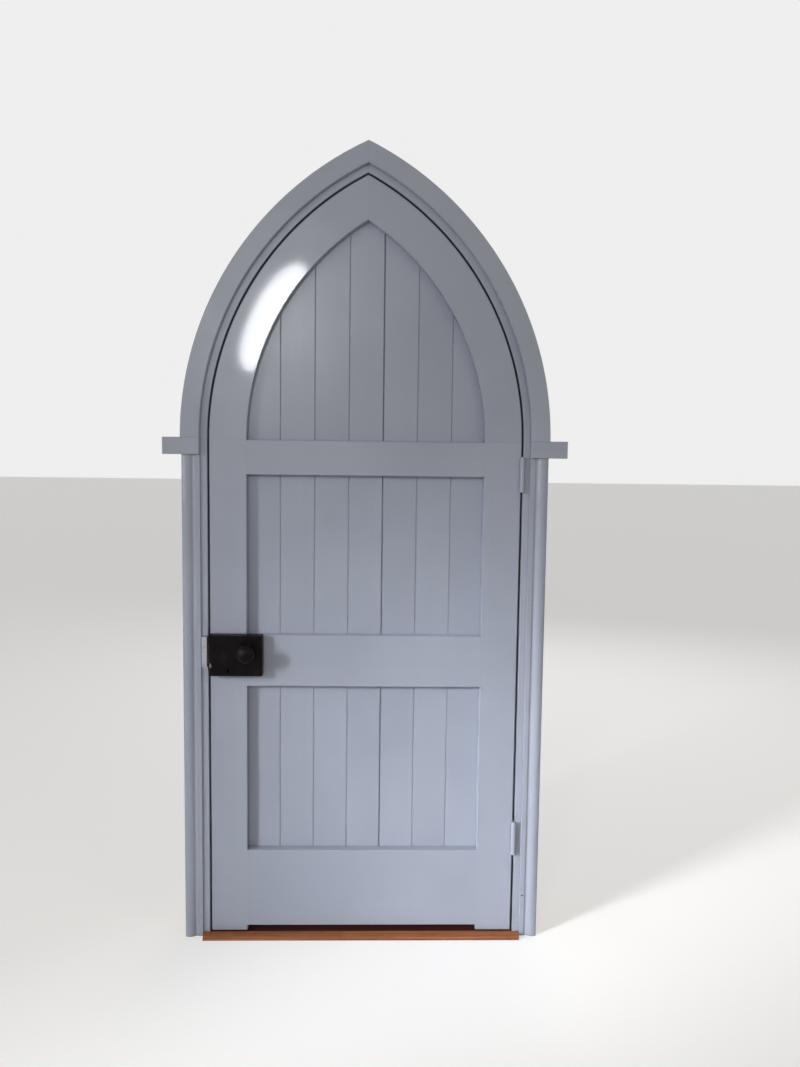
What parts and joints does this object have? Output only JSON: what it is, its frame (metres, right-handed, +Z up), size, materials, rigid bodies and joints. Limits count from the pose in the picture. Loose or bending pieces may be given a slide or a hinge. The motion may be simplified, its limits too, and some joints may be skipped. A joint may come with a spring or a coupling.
{
  "type": "arched wooden door with frame",
  "caption": "Pointed-arch framed and boarded wooden door in its frame, hung on butt hinges, with a rim lock, turning knobs, a keep, moulded casings and a threshold.",
  "frame": {"origin": "on the floor under the middle of the doorway, in the plane of the leaf's front face", "axes": "+X to the right seen from the room, +Y into the wall, +Z up"},
  "size_m": [1.042, 0.199, 2.0842],
  "materials": {
    "painted_wood": "pale grey-blue gloss paint",
    "threshold_wood": "bare, dark and worn",
    "oak": "bare",
    "painted_hinge": "pale grey-blue gloss paint",
    "painted_nails": "pale grey-blue gloss paint",
    "black_iron": "black japanned",
    "worn_steel": "bare and worn",
    "steel": "bright",
    "spring_steel": "blued"
  },
  "bodies": {
    "frame": {"left_jamb": "painted_wood", "right_jamb": "painted_wood", "left_arch_jamb": "painted_wood", "right_arch_jamb": "painted_wood", "left_stop": "painted_wood", "right_stop": "painted_wood", "left_arch_stop": "painted_wood", "right_arch_stop": "painted_wood", "left_casing": "painted_wood", "right_casing": "painted_wood", "left_arch_band": "painted_wood", "right_arch_band": "painted_wood", "left_horn": "painted_wood", "right_horn": "painted_wood", "threshold": "threshold_wood", "frame_dowels": "oak", "trim_nails": "painted_nails", "lock_keep": "worn_steel", "keep_screws": "worn_steel", "lower_hinge_frame_flap": "painted_hinge", "upper_hinge_frame_flap": "painted_hinge", "lower_hinge_pin": "painted_hinge", "upper_hinge_pin": "painted_hinge", "frame_hinge_screws": "painted_hinge"},
    "leaf": {"lock_stile": "painted_wood", "hinge_stile": "painted_wood", "left_arch_rail": "painted_wood", "right_arch_rail": "painted_wood", "spring_rail": "painted_wood", "lock_rail": "painted_wood", "bottom_rail": "painted_wood", "board_1": "painted_wood", "board_2": "painted_wood", "board_3": "painted_wood", "board_4": "painted_wood", "board_5": "painted_wood", "board_6": "painted_wood", "board_7": "painted_wood", "loose_tenons": "oak", "tenon_pegs": "oak", "board_nails": "painted_nails", "lower_hinge_leaf_flap": "painted_hinge", "upper_hinge_leaf_flap": "painted_hinge", "leaf_hinge_screws": "painted_hinge", "lock_case": "black_iron", "lock_plate": "black_iron", "lock_screws": "black_iron", "bow_spring": "spring_steel", "latch_spring": "spring_steel", "outer_rose": "black_iron", "outer_keyplate": "black_iron", "plate_screws": "black_iron"},
    "knob_set": {"follower": "steel", "spindle": "steel", "inner_knob": "black_iron", "outer_knob": "black_iron", "knob_pins": "black_iron"},
    "latch": {"latch_bolt": "steel"},
    "bolt": {"dead_bolt": "steel"}
  },
  "joints": [
    {"name": "door_swing", "type": "hinge", "parent": "frame", "child": "leaf", "pos_m": [0.4065, -0.0065, 0.764], "axis": [0, 0, 1], "range_deg": [0, 150]},
    {"name": "knob_turn", "type": "hinge", "parent": "leaf", "child": "knob_set", "pos_m": [-0.304, -0.014, 0.788], "axis": [0, -1, 0], "range_deg": [0, 40]},
    {"name": "latch_slide", "type": "slide", "parent": "leaf", "child": "latch", "axis": [-1, 0, 0], "range_m": [0, 0.012]},
    {"name": "dead_bolt_slide", "type": "slide", "parent": "leaf", "child": "bolt", "axis": [-1, 0, 0], "range_m": [0, 0.012]}
  ],
  "couplings": [
    {"joint": "latch_slide", "follows": "knob_turn", "m_per_rad": 0.017189}
  ]
}
